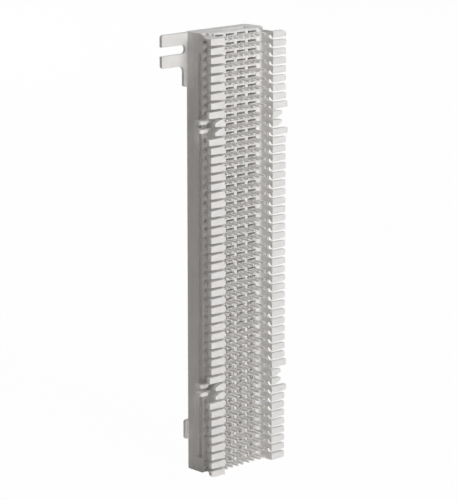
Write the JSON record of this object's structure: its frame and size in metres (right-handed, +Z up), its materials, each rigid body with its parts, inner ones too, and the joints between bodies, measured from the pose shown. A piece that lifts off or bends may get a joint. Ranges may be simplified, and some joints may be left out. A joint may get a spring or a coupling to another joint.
{
  "type": "punch down wiring block",
  "caption": "White slab-shaped wiring block with rows of tinned punch down clips between two slotted fanning strips, and an open-slotted screw ear at two opposite corners.",
  "frame": {"origin": "on the bottom end plane, midway between the sides and midway between the tab faces and the back plane", "axes": "+X across the clip columns to the viewer's right, +Y from the tabs to the back plane, +Z up the rows"},
  "size_m": [0.086, 0.0274, 0.2554],
  "materials": {
    "white_moulding": "moulded, lightly satin",
    "base_moulding": "moulded, lightly satin",
    "tinned_clip": "bright tin plate"
  },
  "bodies": {
    "root": {"front_housing": "white_moulding", "rear_base": "base_moulding", "contact_row_01": "tinned_clip", "contact_row_02": "tinned_clip", "contact_row_03": "tinned_clip", "contact_row_04": "tinned_clip", "contact_row_05": "tinned_clip", "contact_row_06": "tinned_clip", "contact_row_07": "tinned_clip", "contact_row_08": "tinned_clip", "contact_row_09": "tinned_clip", "contact_row_10": "tinned_clip", "contact_row_11": "tinned_clip", "contact_row_12": "tinned_clip", "contact_row_13": "tinned_clip", "contact_row_14": "tinned_clip", "contact_row_15": "tinned_clip", "contact_row_16": "tinned_clip", "contact_row_17": "tinned_clip", "contact_row_18": "tinned_clip", "contact_row_19": "tinned_clip", "contact_row_20": "tinned_clip", "contact_row_21": "tinned_clip", "contact_row_22": "tinned_clip", "contact_row_23": "tinned_clip", "contact_row_24": "tinned_clip", "contact_row_25": "tinned_clip", "contact_row_26": "tinned_clip", "contact_row_27": "tinned_clip", "contact_row_28": "tinned_clip", "contact_row_29": "tinned_clip", "contact_row_30": "tinned_clip", "contact_row_31": "tinned_clip", "contact_row_32": "tinned_clip", "contact_row_33": "tinned_clip", "contact_row_34": "tinned_clip", "contact_row_35": "tinned_clip", "contact_row_36": "tinned_clip", "contact_row_37": "tinned_clip", "contact_row_38": "tinned_clip", "contact_row_39": "tinned_clip", "contact_row_40": "tinned_clip", "contact_row_41": "tinned_clip", "contact_row_42": "tinned_clip", "contact_row_43": "tinned_clip", "contact_row_44": "tinned_clip", "contact_row_45": "tinned_clip", "contact_row_46": "tinned_clip", "contact_row_47": "tinned_clip", "contact_row_48": "tinned_clip", "contact_row_49": "tinned_clip", "contact_row_50": "tinned_clip"}
  },
  "joints": []
}
